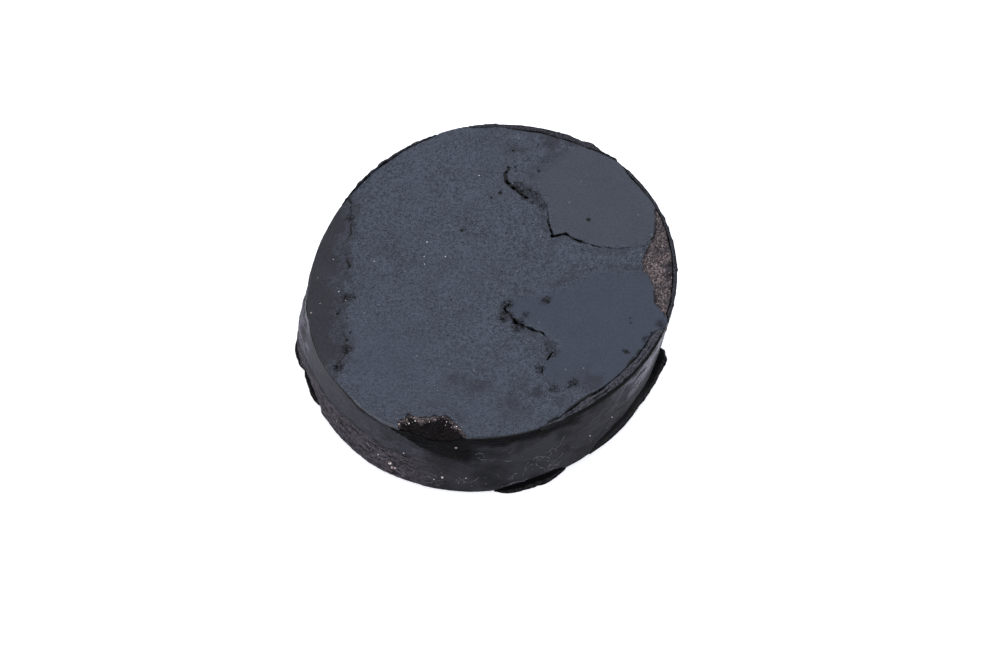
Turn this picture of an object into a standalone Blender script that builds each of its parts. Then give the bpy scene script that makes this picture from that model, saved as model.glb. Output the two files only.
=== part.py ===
"""Hand-pressed charcoal cake: a gritty core wrapped in a burnished side skin, with smeared skins over its top."""

import math

import bmesh
import bpy

MM = 0.001

TOP_Z = 11.2 * MM
TOP_SKIN = 1.2 * MM
SIDE_SKIN = 1.4 * MM
GAP = 0.3 * MM
SKIN_FLOOR = TOP_Z - TOP_SKIN
CORE_TOP = SKIN_FLOOR - GAP
SEGMENTS = 120
SHARP_ANGLE = 30.0

# Both outlines are a circle that is a little off centre and out of round.
RIM_RADIUS = 20.35 * MM
RIM_SHIFT = (0.8 * MM, 0.5 * MM)
RIM_OVAL = 0.65 * MM
RIM_OVAL_AXIS = 52.0
RIM_TRILOBE = 0.23 * MM
RIM_TRILOBE_AXIS = -22.3
FOOT_RADIUS = 20.2 * MM
FOOT_SHIFT = (-0.9 * MM, 0.4 * MM)
FOOT_OVAL = 0.3 * MM
FOOT_OVAL_AXIS = 60.0

RIM_ROUND = 0.5 * MM
FOOT_ROUND = 0.35 * MM

RIM_NICK = 0.25 * MM
GAP_ANGLE = 0.9
ARC_STEP = 1.5

FACET_HINGE_X = -14.0 * MM
FACET_SLOPE = 8.0

PATCH_BASE = 8.6 * MM
PATCH_TOP = 10.95 * MM
CHIP_FLOOR = 8.9 * MM
CHIP_BOSS_TOP = 10.3 * MM

BELOW = -5.0 * MM
ABOVE = 16.0 * MM
CLEAR = 2.0 * MM
OUTSIDE = 26.0

# Seams across the top, in millimetres.
REAR_LOBE = (
    (13.0, OUTSIDE),
    (11.9, 18.2),
    (10.4, 17.0),
    (8.5, 15.8),
    (6.8, 14.3),
    (6.3, 12.8),
    (6.8, 10.9),
    (7.6, 9.3),
    (7.4, 7.3),
    (7.9, 5.2),
    (9.2, 5.5),
    (10.8, 4.2),
    (12.9, 3.3),
    (15.3, 3.0),
    (17.8, 3.1),
    (19.2, 4.4),
    (OUTSIDE, 6.0),
    (OUTSIDE, OUTSIDE),
)
FRONT_LOBE = (
    (OUTSIDE, -0.4),
    (18.6, -0.4),
    (12.7, 0.3),
    (9.8, -0.8),
    (8.1, -1.7),
    (4.8, -2.3),
    (3.0, -2.5),
    (2.0, -3.8),
    (3.0, -5.6),
    (4.1, -6.4),
    (5.7, -7.2),
    (7.3, -8.9),
    (6.3, -10.4),
    (5.4, -12.2),
    (6.2, -13.9),
    (7.7, -14.5),
    (9.2, -13.9),
    (11.2, -14.7),
    (20.0, -OUTSIDE),
    (OUTSIDE, -OUTSIDE),
)
LEFT_FACET = (
    (-OUTSIDE, 15.0),
    (-16.3, 11.6),
    (-14.4, 9.0),
    (-14.4, 6.6),
    (-14.9, 4.6),
    (-15.7, 2.7),
    (-15.1, 0.2),
    (-14.9, -1.3),
    (-15.5, -3.2),
    (-15.3, -6.4),
    (-15.1, -8.4),
    (-16.2, -9.9),
    (-17.6, -11.6),
    (-OUTSIDE, -15.0),
)
REAR_CRACK = ((3.3, 15.2), (3.0, 13.8), (3.1, 12.8), (3.8, 11.7), (4.9, 10.8), (5.9, 10.3))
REAR_CRACK_WIDTHS = (0.25, 0.45, 0.55, 0.6, 0.45, 0.2)

# Where the core shows through: a patch at the right rim and a chip at the front.
PATCH = (
    (19.9, 4.6),
    (19.0, 4.3),
    (18.4, 3.1),
    (17.4, 1.0),
    (17.9, -0.1),
    (18.4, -2.8),
    (18.5, -4.7),
    (18.7, -5.7),
    (19.1, -5.5),
    (19.85, -2.8),
    (20.2, 0.0),
    (20.3, 2.4),
)
CHIP = (
    (-11.6, -19.4),
    (-10.2, -17.0),
    (-9.5, -16.7),
    (-8.8, -16.2),
    (-7.7, -16.9),
    (-6.7, -16.8),
    (-5.1, -16.7),
    (-4.1, -17.6),
    (-3.2, -18.8),
    (-2.4, -23.0),
    (-13.0, -22.0),
)
CHIP_BOSS = (
    (-9.9, -17.0),
    (-8.9, -16.6),
    (-7.8, -17.3),
    (-6.6, -17.2),
    (-5.3, -17.1),
    (-4.5, -17.9),
    (-6.3, -18.4),
    (-8.5, -17.9),
)

# Flash round the rim: start and stop angle in degrees from +X, width and rise above the top.
RIM_FLASHES = {
    "rim_flash_back_left": (101.5, 140.0, 0.45 * MM, 0.25 * MM),
    "rim_flash_rear": (43.0, 92.0, 0.65 * MM, 0.30 * MM),
    "rim_flash_right": (-15.0, 42.0, 0.55 * MM, 0.25 * MM),
    "rim_rib_front": (-74.0, -27.0, 0.95 * MM, 0.15 * MM),
}
# Flash round the foot: start and stop angle, height and how far it stands out.
FOOT_FLASHES = {
    "foot_flash_right": (-57.0, -10.0, 1.8 * MM, 0.9 * MM),
    "foot_flash_left": (177.0, 201.0, 0.9 * MM, 0.6 * MM),
    "foot_flash_front": (270.0, 292.0, 0.9 * MM, 0.7 * MM),
}

COATS = {
    "core": ((0.045, 0.033, 0.027), 0.92),
    "side_skin": ((0.016, 0.016, 0.018), 0.45),
    "top_main": ((0.020, 0.022, 0.026), 0.60),
    "top_lobe_rear": ((0.018, 0.020, 0.024), 0.48),
    "top_lobe_front": ((0.017, 0.020, 0.026), 0.46),
    "top_facet_left": ((0.019, 0.019, 0.020), 0.50),
    "rim_flash": ((0.012, 0.012, 0.013), 0.60),
    "foot_flash": ((0.008, 0.008, 0.009), 0.70),
}


def clear_scene():
    for thing in list(bpy.data.objects):
        bpy.data.objects.remove(thing, do_unlink=True)


def new_collection(name, shown):
    made = bpy.data.collections.new(name)
    bpy.context.scene.collection.children.link(made)
    made.hide_render = not shown
    return made


def coat(name, key):
    colour, roughness = COATS[key]
    made = bpy.data.materials.new(name)
    made.use_nodes = True
    shader = made.node_tree.nodes["Principled BSDF"]
    shader.inputs["Base Color"].default_value = (*colour, 1.0)
    shader.inputs["Roughness"].default_value = roughness
    shader.inputs["Metallic"].default_value = 0.0
    return made


def lobed(theta, radius, shift, oval, oval_axis):
    offset = shift[0] * math.cos(theta) + shift[1] * math.sin(theta)
    return radius + offset + oval * math.cos(2 * (theta - math.radians(oval_axis)))


def rim_radius(theta):
    trilobe = RIM_TRILOBE * math.cos(3 * (theta - math.radians(RIM_TRILOBE_AXIS)))
    return lobed(theta, RIM_RADIUS, RIM_SHIFT, RIM_OVAL, RIM_OVAL_AXIS) + trilobe


def foot_radius(theta):
    return lobed(theta, FOOT_RADIUS, FOOT_SHIFT, FOOT_OVAL, FOOT_OVAL_AXIS)


def wall_radius(theta, z):
    share = z / TOP_Z
    return foot_radius(theta) * (1 - share) + rim_radius(theta) * share


def finished(name, collection, work, key):
    """The object made from this bmesh: a coated part, or a hidden cutter if it has no coat."""
    bmesh.ops.recalc_face_normals(work, faces=work.faces)
    mesh = bpy.data.meshes.new(name)
    work.to_mesh(mesh)
    work.free()
    made = bpy.data.objects.new(name, mesh)
    collection.objects.link(made)
    if key:
        mesh.materials.append(coat(name + "_coat", key))
        mesh.shade_smooth()
        mesh.set_sharp_from_angle(angle=math.radians(SHARP_ANGLE))
    else:
        made.display_type = "WIRE"
        made.hide_render = True
    return made


def loft(name, collection, rings, hollow, key=None):
    """A skin through rings of points, capped at both ends, or joined end to end round a hollow."""
    work = bmesh.new()
    rows = [[work.verts.new(point) for point in points] for points in rings]
    if hollow:
        rows.append(rows[0])
    for here, there in zip(rows, rows[1:]):
        for i in range(len(here)):
            work.faces.new((here[i - 1], here[i], there[i], there[i - 1]))
    if not hollow:
        work.faces.new(rows[0])
        work.faces.new(rows[-1])
    return finished(name, collection, work, key)


def ring(z, inset):
    made = []
    for i in range(SEGMENTS):
        theta = 2 * math.pi * i / SEGMENTS
        radius = wall_radius(theta, z) - inset
        made.append((radius * math.cos(theta), radius * math.sin(theta), z))
    return made


def plate(name, collection, outline, low, high, key=None):
    """A flat plate with this outline in millimetres, from height low to height high."""
    work = bmesh.new()
    corners = [work.verts.new((x * MM, y * MM, low)) for x, y in outline]
    floor = work.faces.new(corners)
    raised = bmesh.ops.extrude_face_region(work, geom=[floor])
    top = [item for item in raised["geom"] if isinstance(item, bmesh.types.BMVert)]
    bmesh.ops.translate(work, verts=top, vec=(0.0, 0.0, high - low))
    return finished(name, collection, work, key)


def grown(outline, distance):
    """The outline moved outwards along its corner normals, in millimetres."""
    area = 0.0
    for (ax, ay), (bx, by) in zip(outline, outline[1:] + outline[:1]):
        area += ax * by - bx * ay
    turn = 1.0 if area > 0 else -1.0
    made = []
    for i, (x, y) in enumerate(outline):
        before = outline[i - 1]
        after = outline[(i + 1) % len(outline)]
        first = (x - before[0], y - before[1])
        second = (after[0] - x, after[1] - y)
        first_length = math.hypot(*first)
        second_length = math.hypot(*second)
        normal_x = first[1] / first_length + second[1] / second_length
        normal_y = -first[0] / first_length - second[0] / second_length
        length = math.hypot(normal_x, normal_y)
        reach = turn * distance / max(length / 2, 0.6) / length
        made.append((x + normal_x * reach, y + normal_y * reach))
    return tuple(made)


def arc_band(start, stop, height, inner, outer):
    """Outline in millimetres of a band along the wall, outer being a function of the angle."""
    steps = round((stop - start) / ARC_STEP)
    angles = [math.radians(start + (stop - start) * i / steps) for i in range(steps + 1)]
    outside = [(wall_radius(t, height) + outer(t), t) for t in angles]
    inside = [(wall_radius(t, height) - inner, t) for t in reversed(angles)]
    return tuple((r * math.cos(t) / MM, r * math.sin(t) / MM) for r, t in outside + inside)


def ragged(theta):
    """From 0 to 1, as the torn edge of a flash comes and goes round the cake."""
    return 0.5 + 0.25 * math.sin(17 * theta) + 0.25 * math.sin(29 * theta + 1.0)


def foot_fringe(start, stop, out):
    """How far a foot flash stands out at each angle: nothing at its ends, ragged between."""

    def reach(theta):
        share = (math.degrees(theta) - start) / (stop - start)
        swell = math.sin(math.pi * min(max(share, 0.0), 1.0)) ** 0.5
        return out * swell * (1 + ragged(theta)) / 2

    return reach


def cut(target, cutter, operation="DIFFERENCE"):
    modifier = target.modifiers.new(operation.lower() + "_" + cutter.name, "BOOLEAN")
    modifier.operation = operation
    modifier.solver = "EXACT"
    modifier.object = cutter


def top_blank(name, key):
    """The whole top layer, with its rounded edge."""
    rings = [
        ring(SKIN_FLOOR, 0.0),
        ring(TOP_Z - RIM_ROUND, 0.0),
        ring(TOP_Z - 0.3 * RIM_ROUND, 0.3 * RIM_ROUND),
        ring(TOP_Z, RIM_ROUND),
    ]
    return loft(name, parts, rings, False, key)


def slope_cutter(name):
    """A block above the left facet, tipped about a hinge line where the facet meets the flat top."""
    work = bmesh.new()
    bmesh.ops.create_cube(work, size=1.0)
    block = (-FACET_HINGE_X, 2 * OUTSIDE * MM, CLEAR)
    bmesh.ops.scale(work, verts=work.verts, vec=block)
    bmesh.ops.translate(work, verts=work.verts, vec=(-block[0] / 2, 0.0, CLEAR / 2))
    made = finished(name, cutters, work, None)
    made.location = (FACET_HINGE_X, 0.0, TOP_Z)
    made.rotation_euler = (0.0, -math.radians(FACET_SLOPE), 0.0)
    return made


def slot_outline(path, widths):
    """A tapering slot along a path, all in millimetres."""
    left = []
    right = []
    for i, (x, y) in enumerate(path):
        before = path[max(i - 1, 0)]
        after = path[min(i + 1, len(path) - 1)]
        run = (after[0] - before[0], after[1] - before[1])
        length = math.hypot(*run)
        aside = (-run[1] / length * widths[i] / 2, run[0] / length * widths[i] / 2)
        left.append((x + aside[0], y + aside[1]))
        right.append((x - aside[0], y - aside[1]))
    return tuple(left + right[::-1])


clear_scene()
parts = new_collection("charcoal_cake", True)
cutters = new_collection("cutters", False)

gap = GAP / MM

rear_cutter = plate("cut_rear", cutters, REAR_LOBE, BELOW, ABOVE)
rear_grown = plate("cut_rear_grown", cutters, grown(REAR_LOBE, gap), BELOW, ABOVE)
front_cutter = plate("cut_front", cutters, FRONT_LOBE, BELOW, ABOVE)
front_grown = plate("cut_front_grown", cutters, grown(FRONT_LOBE, gap), BELOW, ABOVE)
left_cutter = plate("cut_left", cutters, LEFT_FACET, BELOW, ABOVE)
left_grown = plate("cut_left_grown", cutters, grown(LEFT_FACET, gap), BELOW, ABOVE)
patch_grown = plate("cut_patch", cutters, grown(PATCH, gap), PATCH_BASE - GAP, ABOVE)
chip_cutter = plate("cut_chip", cutters, CHIP, CHIP_FLOOR, ABOVE)
crack = slot_outline(REAR_CRACK, REAR_CRACK_WIDTHS)
crack_cutter = plate("cut_crack", cutters, crack, BELOW, ABOVE)
flash_cutters = []
for name, (start, stop, width, rise) in RIM_FLASHES.items():
    room = arc_band(start - GAP_ANGLE, stop + GAP_ANGLE, TOP_Z, width + GAP, lambda t: CLEAR)
    flash_cutters.append(plate("room_" + name, cutters, room, SKIN_FLOOR - GAP / 2, ABOVE))

core = loft(
    "core",
    parts,
    [
        ring(0.0, SIDE_SKIN + GAP + FOOT_ROUND),
        ring(FOOT_ROUND, SIDE_SKIN + GAP),
        ring(CORE_TOP, SIDE_SKIN + GAP),
    ],
    False,
    "core",
)
cut(core, plate("patch_boss", cutters, PATCH, PATCH_BASE, PATCH_TOP), "UNION")
cut(core, plate("chip_boss", cutters, CHIP_BOSS, CHIP_FLOOR + GAP, CHIP_BOSS_TOP), "UNION")

side_skin = loft(
    "side_skin",
    parts,
    [
        ring(0.0, FOOT_ROUND),
        ring(FOOT_ROUND, 0.0),
        ring(CORE_TOP, 0.0),
        ring(CORE_TOP, SIDE_SKIN),
        ring(0.0, SIDE_SKIN),
    ],
    True,
    "side_skin",
)
cut(side_skin, patch_grown)
cut(side_skin, chip_cutter)

top_main = top_blank("top_main", "top_main")
for cutter in (rear_grown, front_grown, left_grown, patch_grown, chip_cutter, crack_cutter):
    cut(top_main, cutter)

top_lobe_rear = top_blank("top_lobe_rear", "top_lobe_rear")
cut(top_lobe_rear, rear_cutter, "INTERSECT")
cut(top_lobe_rear, patch_grown)

top_lobe_front = top_blank("top_lobe_front", "top_lobe_front")
cut(top_lobe_front, front_cutter, "INTERSECT")
cut(top_lobe_front, patch_grown)

for top in (top_main, top_lobe_rear, top_lobe_front):
    for cutter in flash_cutters:
        cut(top, cutter)

top_facet_left = top_blank("top_facet_left", "top_facet_left")
cut(top_facet_left, left_cutter, "INTERSECT")
cut(top_facet_left, slope_cutter("cut_slope"))

for name, (start, stop, width, rise) in RIM_FLASHES.items():
    outline = arc_band(start, stop, TOP_Z, width, lambda t: -RIM_NICK * ragged(t))
    plate(name, parts, outline, SKIN_FLOOR, TOP_Z + rise, "rim_flash")

for name, (start, stop, height, out) in FOOT_FLASHES.items():
    outline = arc_band(start, stop, 0.0, SIDE_SKIN, foot_fringe(start, stop, out))
    plate(name, parts, outline, 0.0, height, "foot_flash")
    room = arc_band(start - GAP_ANGLE, stop + GAP_ANGLE, 0.0, SIDE_SKIN + GAP, lambda t: CLEAR)
    cut(side_skin, plate("room_" + name, cutters, room, BELOW, height + GAP))
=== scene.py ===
"""Pressed charcoal cake: fine skins, cracks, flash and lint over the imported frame, in a pale studio."""

import itertools
import math

import bpy
import numpy as np
from mathutils import Matrix, Vector


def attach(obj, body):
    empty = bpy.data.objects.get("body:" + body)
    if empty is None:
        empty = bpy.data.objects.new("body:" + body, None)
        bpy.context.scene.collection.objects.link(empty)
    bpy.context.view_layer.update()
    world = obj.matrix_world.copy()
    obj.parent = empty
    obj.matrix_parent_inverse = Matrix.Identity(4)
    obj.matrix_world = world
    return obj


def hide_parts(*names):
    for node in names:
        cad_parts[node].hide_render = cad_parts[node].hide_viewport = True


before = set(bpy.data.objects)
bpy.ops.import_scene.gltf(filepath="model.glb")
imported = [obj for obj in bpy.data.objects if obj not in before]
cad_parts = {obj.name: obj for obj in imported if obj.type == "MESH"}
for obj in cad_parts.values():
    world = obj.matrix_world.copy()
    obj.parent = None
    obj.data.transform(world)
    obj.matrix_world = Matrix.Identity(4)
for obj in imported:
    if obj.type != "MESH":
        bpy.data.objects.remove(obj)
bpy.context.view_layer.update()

# Everything below is in millimetres until a mesh is made.
MM = 0.001
TOP_Z = 11.2
SKIN_FLOOR = 10.0
SKIN_INSET = 0.34
FOOT_ROUND = 0.35
CELL = 0.16
WALL_CELL = 0.18
MEAN_RADIUS = 20.3
NOISE_RADIUS = 20.0
SHEET_WIDTH = 46.0
SHEET_RADIUS = 22.9
SEAM = 0.02

RIM_RADIUS = 20.35
RIM_SHIFT = (0.8, 0.5)
RIM_OVAL = 0.65
RIM_OVAL_AXIS = 52.0
RIM_TRILOBE = 0.23
RIM_TRILOBE_AXIS = -22.3
FOOT_RADIUS = 20.2
FOOT_SHIFT = (-0.9, 0.4)
FOOT_OVAL = 0.3
FOOT_OVAL_AXIS = 60.0

FACET_SLOPE = 0.14
FACET_STEP = 0.07

OUT = 26.0
REAR_LOBE = (
    (13.0, OUT), (11.9, 18.2), (10.4, 17.0), (8.5, 15.8), (6.8, 14.3), (6.3, 12.8), (6.8, 10.9),
    (7.6, 9.3), (7.4, 7.3), (7.9, 5.2), (9.2, 5.5), (10.8, 4.2), (12.9, 3.3), (15.3, 3.0),
    (17.8, 3.1), (19.2, 4.4), (OUT, 6.0), (OUT, OUT),
)
FRONT_LOBE = (
    (OUT, -0.4), (18.6, -0.4), (12.7, 0.3), (9.8, -0.8), (8.1, -1.7), (4.8, -2.3), (3.0, -2.5),
    (2.0, -3.8), (3.0, -5.6), (4.1, -6.4), (5.7, -7.2), (7.3, -8.9), (6.3, -10.4), (5.4, -12.2),
    (6.2, -13.9), (7.7, -14.5), (9.2, -13.9), (11.2, -14.7), (20.0, -OUT), (OUT, -OUT),
)
LEFT_FACET = (
    (-OUT, 22.0), (-15.2, 14.4), (-14.2, 11.5), (-14.2, 9.0), (-14.4, 7.4), (-15.2, 6.0),
    (-14.6, 3.1), (-15.8, 1.2), (-15.2, -0.8), (-16.0, -2.9), (-15.3, -6.6), (-15.2, -7.9),
    (-16.3, -9.7), (-17.6, -12.2), (-OUT, -16.0),
)
PATCH = (
    (22.5, 9.4), (19.6, 8.6), (19.3, 7.0), (19.2, 5.2), (18.9, 4.1), (18.2, 2.9), (17.5, 1.2),
    (17.3, -0.3), (18.1, -1.5), (18.3, -3.2), (18.3, -4.5), (18.7, -5.3), (19.2, -6.4),
    (22.5, -7.4),
)
CHIP = (
    (-10.8, -19.6), (-10.0, -17.2), (-9.4, -16.7), (-8.8, -16.2), (-7.7, -16.9), (-6.7, -16.8),
    (-5.1, -16.7), (-4.1, -17.6), (-3.2, -18.8), (-2.4, -23.0), (-13.0, -22.0),
)
REAR_CRACK = ((3.7, 14.9), (3.1, 14.1), (3.2, 13.0), (3.9, 12.2), (4.6, 11.3), (5.4, 10.6))
REAR_CRACK_WIDTHS = (0.02, 0.22, 0.28, 0.30, 0.14, 0.02)

# Where the seams stand open: x, y, reach along the seam, and half the gap there.
OPENINGS = (
    (7.4, 8.2, 0.7, 0.08), (7.5, 7.0, 0.9, 0.12), (7.9, 5.4, 0.9, 0.20), (9.2, 5.4, 0.9, 0.15),
    (10.6, 4.4, 0.9, 0.15), (12.4, 3.5, 1.1, 0.08), (14.0, 3.2, 0.9, 0.05), (15.6, 3.1, 1.2, 0.06),
    (17.8, 3.2, 1.0, 0.06), (18.9, 4.2, 0.6, 0.13), (2.1, -3.9, 0.7, 0.10), (2.6, -5.0, 0.7, 0.12),
    (3.4, -5.9, 0.8, 0.20), (4.7, -6.8, 0.8, 0.20), (5.9, -7.4, 0.7, 0.10), (6.7, -8.8, 0.5, 0.08),
    (6.4, -10.3, 0.6, 0.12), (5.4, -12.1, 0.6, 0.10), (6.3, -13.9, 0.6, 0.06),
    (8.3, -14.2, 0.9, 0.07), (-14.2, 10.2, 1.1, 0.06), (-14.6, 3.1, 0.6, 0.06),
    (-16.3, -9.9, 0.6, 0.07),
)
HAIRLINE = 0.004

# Crumbling places on the top and single pits: x, y, reach, strength.
CRUMBS = (
    (4.5, 12.3, 0.8, 1.0), (5.3, 11.5, 0.9, 1.0), (6.3, 10.6, 0.8, 0.9), (7.0, 9.3, 0.7, 0.8),
    (2.3, -3.3, 0.7, 0.9), (2.1, -4.8, 0.9, 1.0), (3.2, -6.0, 0.9, 1.0), (4.3, -4.9, 0.6, 0.7),
    (6.3, -3.2, 0.8, 0.8), (6.6, -9.6, 1.0, 0.7), (5.3, -11.8, 0.7, 0.8), (6.6, -14.5, 0.8, 0.6),
    (8.7, -13.7, 0.7, 0.7), (-14.3, 9.6, 0.7, 0.5), (-14.6, 3.2, 0.7, 0.5),
    (-14.9, -0.9, 0.6, 0.7), (-15.4, -7.7, 0.8, 0.6), (-16.2, -9.9, 0.7, 0.9),
    (17.0, -9.2, 0.6, 1.0), (18.6, -7.2, 0.7, 0.7), (14.6, -10.4, 0.34, 1.0),
)
PITS = (
    (-2.1, 6.9, 0.16, 1.0), (11.9, 7.1, 0.22, 0.8), (6.7, -3.4, 0.17, 1.0),
    (14.6, -10.4, 0.15, 1.0), (14.3, -10.2, 0.10, 1.0), (14.9, -10.6, 0.09, 1.0),
    (15.4, -6.2, 0.12, 0.6), (15.4, -6.8, 0.12, 0.6), (2.4, 11.6, 0.18, 1.0),
    (1.4, 11.0, 0.14, 0.8), (3.5, 15.0, 0.13, 1.0), (4.3, 15.0, 0.12, 1.0), (4.3, 14.4, 0.10, 0.9),
    (6.9, 14.2, 0.15, 0.8), (4.2, 17.3, 0.15, 0.7), (-16.1, -2.9, 0.14, 1.0),
    (-15.1, -3.6, 0.10, 0.8), (-14.8, -5.5, 0.13, 0.8), (-15.2, -6.4, 0.16, 0.9),
    (-14.2, -1.0, 0.14, 0.9),
)
PIT_DEPTH = 0.22
# Soft dark purplish smudges: x, y, reach, strength. The first four lie in the hollow behind the rear lobe
# and are painted shade there.
SMUDGE_AND_SHADE_SPOTS = (
    (8.0, 17.8, 2.2, 0.9), (5.2, 17.0, 2.0, 0.8), (11.2, 17.7, 1.4, 0.7), (6.0, 14.6, 1.3, 0.7),
    (-1.4, -12.9, 1.6, 0.8), (-4.0, -12.3, 1.2, 0.6), (5.2, -15.2, 2.4, 1.0),
    (2.0, -15.9, 2.2, 0.6), (11.0, -13.6, 1.6, 0.8), (-9.3, -16.4, 0.9, 0.8),
    (-6.4, -16.4, 1.4, 0.7), (-4.0, -17.0, 1.0, 0.8), (-10.5, 4.4, 1.6, 0.4),
    (-16.8, 12.0, 1.6, 0.6), (-14.8, 13.4, 1.6, 0.5),
)

# Flash round the rim: start and stop angle, how far each end narrows, width, its wander, and rise.
RIM_FLASHES = {
    "rim_flash_back_left": (100.8, 143.0, 2.0, 12.0, 0.30, 0.07, 0.10),
    "rim_flash_rear": (42.9, 93.0, 20.0, 5.0, 0.72, 0.36, 0.06),
    "rim_flash_right": (-19.5, 42.2, 3.0, 7.0, 0.52, 0.14, 0.06),
    "rim_rib_front": (-76.0, -21.5, 18.0, 4.0, 1.12, 0.12, 0.03),
}
THIN_FLASH = 0.10
FLASH_END = 0.8
# Teeth and dips along the outer edge of the rim flash: angle, reach in degrees, how far out.
RIM_TEETH = (
    (43.3, 1.3, 0.36), (53.0, 2.0, 0.24), (67.0, 2.6, -0.28), (76.0, 4.0, -0.12),
    (30.0, 5.0, -0.16), (104.0, 3.0, 0.08), (122.0, 2.0, 0.10), (133.0, 1.6, 0.12),
    (138.0, 1.5, -0.10),
)

# Flash round the foot: angle, how far it stands out and how high it reaches.
FOOT_FLASHES = {
    "foot_flash_right": (
        (-58.0, 0.0, 0.5), (-55.0, 0.05, 2.3), (-48.0, 0.20, 2.8), (-40.0, 0.28, 2.9),
        (-34.0, 0.38, 2.7), (-28.0, 0.60, 2.0), (-19.0, 0.92, 1.3), (-14.0, 1.20, 0.9),
        (-10.5, 0.75, 0.6), (-9.0, 0.0, 0.2),
    ),
    "foot_flash_left": (
        (176.5, 0.0, 0.3), (179.0, 0.22, 0.7), (183.0, 0.28, 1.0), (186.5, 0.10, 0.7),
        (188.0, 0.03, 0.4), (190.5, 0.30, 1.0), (196.0, 0.42, 1.2), (199.5, 0.25, 0.9),
        (201.5, 0.0, 0.3),
    ),
    "foot_flash_front": (
        (268.5, 0.0, 0.2), (272.0, 0.50, 0.6), (277.0, 0.66, 1.0), (284.0, 0.62, 1.2),
        (288.0, 0.48, 1.2), (291.0, 0.18, 0.9), (292.5, 0.0, 0.3),
    ),
}

# The swiped band on the front left of the wall: angle, foot and top of the band.
SWIPE = (
    (186.0, 3.0, 11.6), (203.0, 4.8, 11.6), (213.0, 5.4, 11.6), (223.0, 5.7, 11.4),
    (229.0, 5.8, 10.4), (235.0, 5.3, 10.1), (238.0, 5.6, 9.6), (242.0, 5.6, 9.1),
    (246.0, 5.9, 8.3), (252.0, 6.5, 7.6),
)


# ---------------------------------------------------------------- fields


def lattice(cell, seed):
    """A fixed random number from 0 to 1 for each lattice point."""
    mixed = np.full(len(cell), seed * 974634777 + 12345, np.int64)
    for axis, prime in enumerate((374761393, 668265263, 1440662683)[: cell.shape[1]]):
        mixed = mixed + cell[:, axis] * prime
    mixed &= 0xFFFFFFFF
    mixed = ((mixed ^ (mixed >> 13)) * 1274126177) & 0xFFFFFFFF
    mixed = ((mixed ^ (mixed >> 15)) * 2246822519) & 0xFFFFFFFF
    return ((mixed ^ (mixed >> 16)) & 0xFFFF) / 65535.0


def noise(points, size, seed=0):
    """Smooth noise from -1 to 1, with lumps about this size."""
    scaled = np.asarray(points) / size + 100.37
    cell = np.floor(scaled).astype(np.int64)
    share = scaled - cell
    share = share * share * (3 - 2 * share)
    total = np.zeros(len(scaled))
    for corner in itertools.product((0, 1), repeat=scaled.shape[1]):
        weight = np.prod(np.where(corner, share, 1 - share), axis=1)
        total += weight * lattice(cell + corner, seed)
    return 2 * total - 1


def fractal(points, size, octaves, seed=0, gain=0.55):
    """Noise summed over octaves, each turned against the last so that no grid shows."""
    points = np.asarray(points)
    total = np.zeros(len(points))
    weight = 1.0
    for octave in range(octaves):
        total += weight * noise(points, size, seed + 17 * octave)
        turned = points.copy()
        turned[:, 0] = 0.8 * points[:, 0] - 0.6 * points[:, 1] + 3.1
        turned[:, 1] = 0.6 * points[:, 0] + 0.8 * points[:, 1] - 1.7
        points = turned
        size *= 0.5
        weight *= gain
    return total


def ramp(value, low, high):
    share = np.clip((value - low) / (high - low), 0.0, 1.0)
    return share * share * (3 - 2 * share)


def blend(low, high, share):
    return low + (high - low) * share


def edge_distance(points, outline):
    """Distance to the outline, positive inside it."""
    corners = np.array(outline)
    best = np.full(len(points), np.inf)
    inside = np.zeros(len(points), bool)
    for start, stop in zip(corners, np.roll(corners, -1, axis=0)):
        run = stop - start
        along = np.clip((points - start) @ run / (run @ run), 0.0, 1.0)
        away = points - start - along[:, None] * run
        best = np.minimum(best, np.hypot(away[:, 0], away[:, 1]))
        spans = (start[1] > points[:, 1]) != (stop[1] > points[:, 1])
        rise = run[1] if run[1] else 1.0
        crossing = start[0] + (points[:, 1] - start[1]) / rise * run[0]
        inside ^= spans & (points[:, 0] < crossing)
    return np.where(inside, best, -best)


def path_gap(points, path, widths):
    """Distance to a path less half its own width there, so negative inside the slot."""
    path = np.array(path)
    best = np.full(len(points), np.inf)
    for i in range(len(path) - 1):
        run = path[i + 1] - path[i]
        along = np.clip((points - path[i]) @ run / (run @ run), 0.0, 1.0)
        away = points - path[i] - along[:, None] * run
        width = widths[i] + (widths[i + 1] - widths[i]) * along
        best = np.minimum(best, np.hypot(away[:, 0], away[:, 1]) - width / 2)
    return best


def spots(points, places):
    """The strongest of some round soft spots, each x, y, reach, strength."""
    total = np.zeros(len(points))
    for x, y, reach, strength in places:
        far = ((points[:, 0] - x) ** 2 + (points[:, 1] - y) ** 2) / reach**2
        total = np.maximum(total, strength * np.exp(-far))
    return total


def bell(value, reach):
    return np.exp(-((value / reach) ** 2))


def in_sector(theta, start, stop, soft=1.0):
    """1 inside this range of angles in degrees and 0 outside it, with soft ends."""
    middle = (start + stop) / 2
    off = np.abs((np.degrees(theta) - middle + 180.0) % 360.0 - 180.0)
    return ramp(off, (stop - start) / 2 + soft, (stop - start) / 2)


# ---------------------------------------------------------------- the cake's form


def in_plan(r, theta):
    return np.stack([r * np.cos(theta), r * np.sin(theta)], axis=1)


def at_angle(r, theta, z):
    """Points at these radii, angles and heights."""
    return np.stack([r * np.cos(theta), r * np.sin(theta), z + 0 * theta], axis=1)


def lobed(theta, radius, shift, oval, oval_axis):
    offset = shift[0] * np.cos(theta) + shift[1] * np.sin(theta)
    return radius + offset + oval * np.cos(2 * (theta - math.radians(oval_axis)))


def rim_radius(theta):
    trilobe = RIM_TRILOBE * np.cos(3 * (theta - math.radians(RIM_TRILOBE_AXIS)))
    return lobed(theta, RIM_RADIUS, RIM_SHIFT, RIM_OVAL, RIM_OVAL_AXIS) + trilobe


def foot_radius(theta):
    return lobed(theta, FOOT_RADIUS, FOOT_SHIFT, FOOT_OVAL, FOOT_OVAL_AXIS)


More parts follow.
